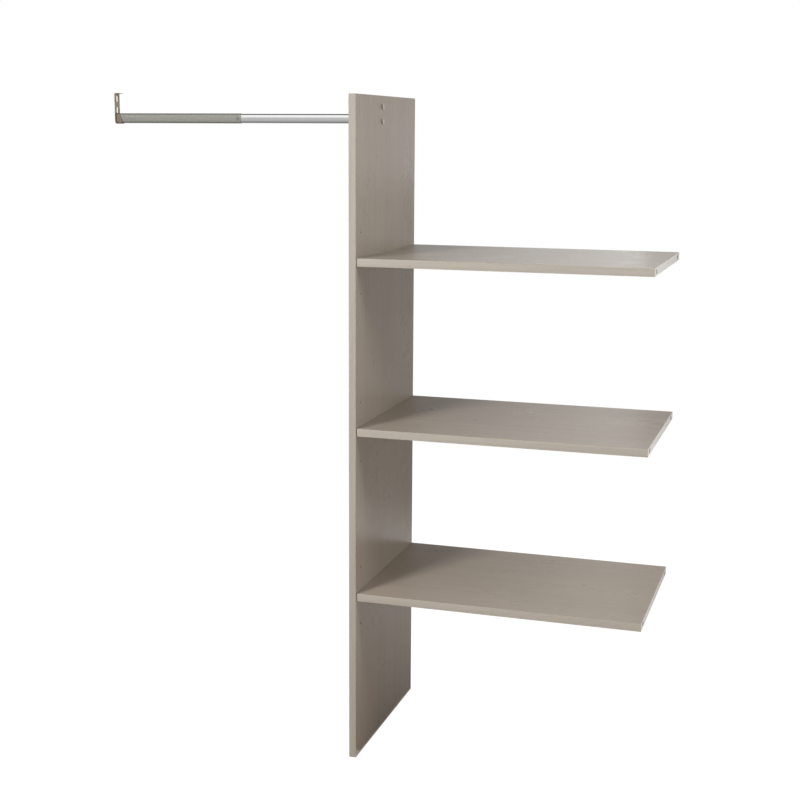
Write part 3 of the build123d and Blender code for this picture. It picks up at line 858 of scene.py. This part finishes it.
plated_steel = make_metal_material(
    "plated_steel", plate_light, plate_dark, smooth=0.22, rough=0.42, relief=0.00002
)
bolt_low, bolt_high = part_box("shelf_bolts")
bolt_stacks = [
    shelf_bolt_rings((bolt_low.x, spot[1], spot[2]), bolt_high.x - bolt_low.x)
    for spot in cam_spots.values()
]
bolts = closed_skin("threaded_shelf_bolts", bolt_stacks)
bolts.data.materials.append(plated_steel)
fit(bolts, "closet_frame", "shelf_bolts")

# Dowels
# Fluted beech dowels, two for each shelf, which line it up with the upright while the cams
# are turned.
dowel_flutes = 20
dowel_flute_depth = 0.00025
dowel_inset = 0.032
dowel_radius = 0.004
beech_light = (0.560, 0.380, 0.225, 1.0)
beech_dark = (0.400, 0.245, 0.130, 1.0)
beech_relief = 0.00008


def dowel_rings(start, length, radius):
    """A dowel: its radius falls between flutes as the square of a raised cosine of the turn,
    and both ends are chamfered."""
    turn = np.linspace(0, 2 * math.pi, 4 * dowel_flutes, endpoint=False)
    flute = dowel_flute_depth * (0.5 + 0.5 * np.cos(dowel_flutes * turn)) ** 2
    along = np.array([0.0, 0.0, 0.001, 0.0012, length - 0.0012, length - 0.001, length, length])
    out = np.array([0.0002, radius - 0.001, radius, radius, radius, radius, radius - 0.001, 0.0002])
    fluted = np.array([0.0, 0.0, 0.6, 1.0, 1.0, 0.6, 0.0, 0.0])
    shape = out[:, None] - fluted[:, None] * flute[None, :]
    return turned_rings(along[:, None], shape, start, (1, 0, 0), (0, 1, 0))


def make_beech_material():
    """Beech: fine lines along the dowel and short dark flecks."""
    material, tree = empty_material("beech_wood")
    place = node(tree, "ShaderNodeTexCoord").outputs["Object"]
    lines = drawn_noise(tree, place, (25.0, 900.0, 900.0), Detail=4.0)
    flecks = ramp(tree, drawn_noise(tree, place, (320.0, 2200.0, 2200.0), Detail=1.0), 0.60, 0.70)
    tone = math_node(tree, "MAXIMUM", ramp(tree, lines, 0.35, 0.68), flecks)
    finish_shader(tree, {
        "Base Color": mixed_colour(tree, tone, beech_light, beech_dark),
        "Roughness": ramp(tree, lines, 0.3, 0.7, 0.55, 0.72),
    }, lines, beech_relief)
    return material


dowel_low, dowel_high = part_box("shelf_dowels")
dowel_stacks = [
    dowel_rings(
        (dowel_low.x, spot[1] + (dowel_inset if end == "front" else -dowel_inset), spot[2]),
        dowel_high.x - dowel_low.x, dowel_radius,
    )
    for (shelf, end), spot in cam_spots.items()
]
dowels = closed_skin("fluted_dowels", dowel_stacks)
dowels.data.materials.append(make_beech_material())
fit(dowels, "closet_frame", "shelf_dowels")

# Hanging rod
# Two oval steel tubes. The wider one is satin plated and slides on the wall bracket's side over
# the narrower one, which is polished chrome. Rolling leaves their flat sides a little crowned.
tube_ease = 0.00028
tube_crown = 0.0004
crown_bands = 8
satin_light = (0.580, 0.578, 0.530, 1.0)
satin_dark = (0.505, 0.502, 0.458, 1.0)
chrome_light = (0.940, 0.942, 0.940, 1.0)
chrome_dark = (0.890, 0.892, 0.890, 1.0)
rod_low, rod_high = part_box("rod_outer_tube")
rod_middle_y = (rod_low.y + rod_high.y) / 2
rod_middle_z = (rod_low.z + rod_high.z) / 2
flat_half = (rod_high.z - rod_low.z - rod_high.y + rod_low.y) / 2


def crown_sides(piece):
    """Crowns a tube's flat sides: cut into bands, their points move in towards the rod's middle
    by the crown times the square of their height's share of the flat's half height."""
    work = bmesh.new()
    work.from_mesh(piece.data)
    for level in np.linspace(-flat_half, flat_half, crown_bands + 1):
        bmesh.ops.bisect_plane(
            work, geom=work.verts[:] + work.edges[:] + work.faces[:], dist=0.0000005,
            plane_co=(0.0, 0.0, rod_middle_z + level), plane_no=(0.0, 0.0, 1.0),
        )
    work.to_mesh(piece.data)
    work.free()
    mesh = piece.data
    points = np.empty(len(mesh.vertices) * 3)
    mesh.vertices.foreach_get("co", points)
    points = points.reshape(-1, 3)
    share = np.clip(np.abs(points[:, 2] - rod_middle_z) / flat_half, 0, 1)
    points[:, 1] -= np.sign(points[:, 1] - rod_middle_y) * tube_crown * share ** 2
    mesh.vertices.foreach_set("co", points.ravel())
    mesh.update()


satin_plate = make_metal_material(
    "satin_plate", satin_light, satin_dark, smooth=0.56, rough=0.66, relief=0.000004,
    line_share=0.7,
)
chrome_plate = make_metal_material(
    "chrome_plate", chrome_light, chrome_dark, smooth=0.05, rough=0.11, relief=0.0000006,
    line_share=0.6,
)
outer_tube = eased_copy("rod_outer_tube", "satin_outer_tube", tube_ease, satin_plate)
crown_sides(outer_tube)
fit(outer_tube, "rod_slide", "rod_outer_tube")
inner_tube = eased_copy("rod_inner_tube", "chrome_inner_tube", tube_ease, chrome_plate)
crown_sides(inner_tube)
fit(inner_tube, "closet_frame", "rod_inner_tube")

# Glide plug
# A moulded plug in the inner tube's hidden end. Its flange keeps the tubes from rattling.
plug_dark = (0.060, 0.058, 0.055, 1.0)
plug_ease = 0.0003
plug_plastic = make_plastic_material(
    "plug_plastic", plug_dark, roughness=0.48, relief=0.00003
)
plug = eased_copy("rod_glide_plug", "glide_plug", plug_ease, plug_plastic)
crown_sides(plug)
fit(plug, "closet_frame", "rod_glide_plug")

# Lock screw
# A slotted steel screw near the outer tube's mouth, which clamps the inner tube at its length.
lock_light = (0.520, 0.510, 0.488, 1.0)
lock_dark = (0.380, 0.372, 0.352, 1.0)
lock_ease = 0.00025
dull_steel = make_metal_material(
    "dull_steel", lock_light, lock_dark, smooth=0.30, rough=0.50, relief=0.00002
)
lock_screw = eased_copy("rod_lock_screw", "rod_length_screw", lock_ease, dull_steel)
fit(lock_screw, "rod_lock_screw", "rod_lock_screw")

# Rod brackets
# Stamped and bent sheet steel with a warm zinc plating. Each has a cup that wraps its tube's
# end. The one on the side wall has two slots and a turned top edge.
bracket_ease = 0.00035
bracket_light = (0.360, 0.292, 0.222, 1.0)
bracket_dark = (0.230, 0.182, 0.134, 1.0)
warm_plate = make_metal_material(
    "warm_plate", bracket_light, bracket_dark, smooth=0.30, rough=0.48, relief=0.00003,
    turn=grain_up, line_share=0.25, metallic=0.45,
)
wall_bracket = eased_copy("rod_wall_bracket", "slotted_wall_bracket", bracket_ease, warm_plate)
fit(wall_bracket, "rod_slide", "rod_wall_bracket")
panel_bracket = eased_copy("rod_panel_bracket", "upright_rod_bracket", bracket_ease, warm_plate)
fit(panel_bracket, "closet_frame", "rod_panel_bracket")

# Cup screws
# Small pan-head screws, one through each cup's front cheek into its tube.
cup_screw_pitch = 0.0009
small_head_height = 0.002
small_shank_radius = 0.00175
screw_points = 64
cross_reach = 0.62
cross_sink = 0.62
cross_arm = 0.13
head_crown = 0.55


def screw_rings(start, axis, side, head_radius, full_length, pitch, tip):
    """A cross-head screw from the middle of its head's top to its tip. The head's top falls
    with the fourth power of the radius. The cross is deepest in the middle, rises to nothing
    at its reach, a share of the radius, and has arms where the distance from the nearer arm's
    line, radius times |sin| or |cos| of the turn, is small. The shank has a thread, and narrows
    over the tip's length, if the screw has a tip."""
    head = small_head_height
    shank = small_shank_radius
    turn = np.linspace(0, 2 * math.pi, screw_points, endpoint=False)
    top = np.linspace(0.00005, head_radius, 26)
    crown = head_crown * head * (top / head_radius) ** 4
    off_arm = top[:, None] * np.minimum(np.abs(np.sin(turn)), np.abs(np.cos(turn)))[None, :]
    arm = np.clip(1.6 - off_arm / (cross_arm * head_radius), 0, 1)
    deep = np.clip(1 - top / (cross_reach * head_radius), 0, 1) ** 0.6
    sink = cross_sink * head * arm * deep[:, None]
    head_along = crown[:, None] + sink
    thread = np.linspace(head, full_length, 60)
    narrow = np.clip((full_length - thread) / tip, 0.12, 1) if tip else np.ones(len(thread))
    cut = thread_cut(thread, turn, pitch, 0.22 * shank, head, full_length)
    shank_out = (shank - cut) * narrow[:, None]
    flat = np.ones(len(turn))
    along = np.vstack([
        head_along, head * flat, head * flat,
        np.repeat(thread[:, None], len(turn), 1), full_length * flat,
    ])
    out = np.vstack([
        np.repeat(top[:, None], len(turn), 1), head_radius * 0.98 * flat, shank * flat,
        shank_out, 0.00005 * flat,
    ])
    return turned_rings(along, out, start, axis, side)


for name, node_name, body in (
    ("wall_cup_screw", "rod_wall_bracket_screw", "rod_slide"),
    ("upright_cup_screw", "rod_panel_bracket_screw", "closet_frame"),
):
    low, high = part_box(node_name)
    start = ((low.x + high.x) / 2, low.y, (low.z + high.z) / 2)
    rings = screw_rings(
        start, (0, 1, 0), (1, 0, 0), (high.x - low.x) / 2, high.y - low.y, cup_screw_pitch, 0.0
    )
    screw = closed_skin(name, [rings])
    screw.data.materials.append(plated_steel)
    fit(screw, body, node_name)

# Rod bolts
# Two chromed bolts right through the upright, with thick flat heads on its right face, and a
# sleeve nut on each that holds the rod's bracket.
head_light = (0.440, 0.430, 0.412, 1.0)
head_dark = (0.350, 0.340, 0.325, 1.0)
head_ease = 0.00012
nut_ease = 0.0002
bolt_chrome = make_metal_material(
    "bolt_chrome", head_light, head_dark, smooth=0.12, rough=0.26, relief=0.000003
)
rod_bolts = eased_copy("rod_bolts", "chrome_rod_bolts", head_ease, bolt_chrome)
fit(rod_bolts, "closet_frame", "rod_bolts")
sleeve_nuts = eased_copy("rod_barrel_nuts", "sleeve_nuts", nut_ease, plated_steel)
fit(sleeve_nuts, "closet_frame", "rod_barrel_nuts")

# Wall angles
# Two bent steel angles on the upright's left face at the wall, each with two chipboard screws
# into the upright and one hole for a wall screw.
angle_light = (0.620, 0.610, 0.580, 1.0)
angle_dark = (0.430, 0.420, 0.395, 1.0)
angle_ease = 0.0004
angle_plate = make_metal_material(
    "angle_plate", angle_light, angle_dark, smooth=0.28, rough=0.46, relief=0.00003,
    turn=grain_up, line_share=0.3,
)
for place in ("low", "high"):
    angle = eased_copy(f"{place}_wall_angle", f"{place}_steel_angle", angle_ease, angle_plate)
    fit(angle, "closet_frame", f"{place}_wall_angle")

low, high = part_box("wall_angle_screws")
angle_screw_levels = (0.290, 0.310, 1.790, 1.810)
angle_screw_head = 0.0035
angle_screw_pitch = 0.0021
angle_screw_tip = 0.005
angle_stacks = [
    screw_rings(
        (low.x, (low.y + high.y) / 2, level), (1, 0, 0), (0, 1, 0), angle_screw_head,
        high.x - low.x, angle_screw_pitch, angle_screw_tip,
    )
    for level in angle_screw_levels
]
angle_screws = closed_skin("angle_screws", angle_stacks)
angle_screws.data.materials.append(plated_steel)
fit(angle_screws, "closet_frame", "wall_angle_screws")
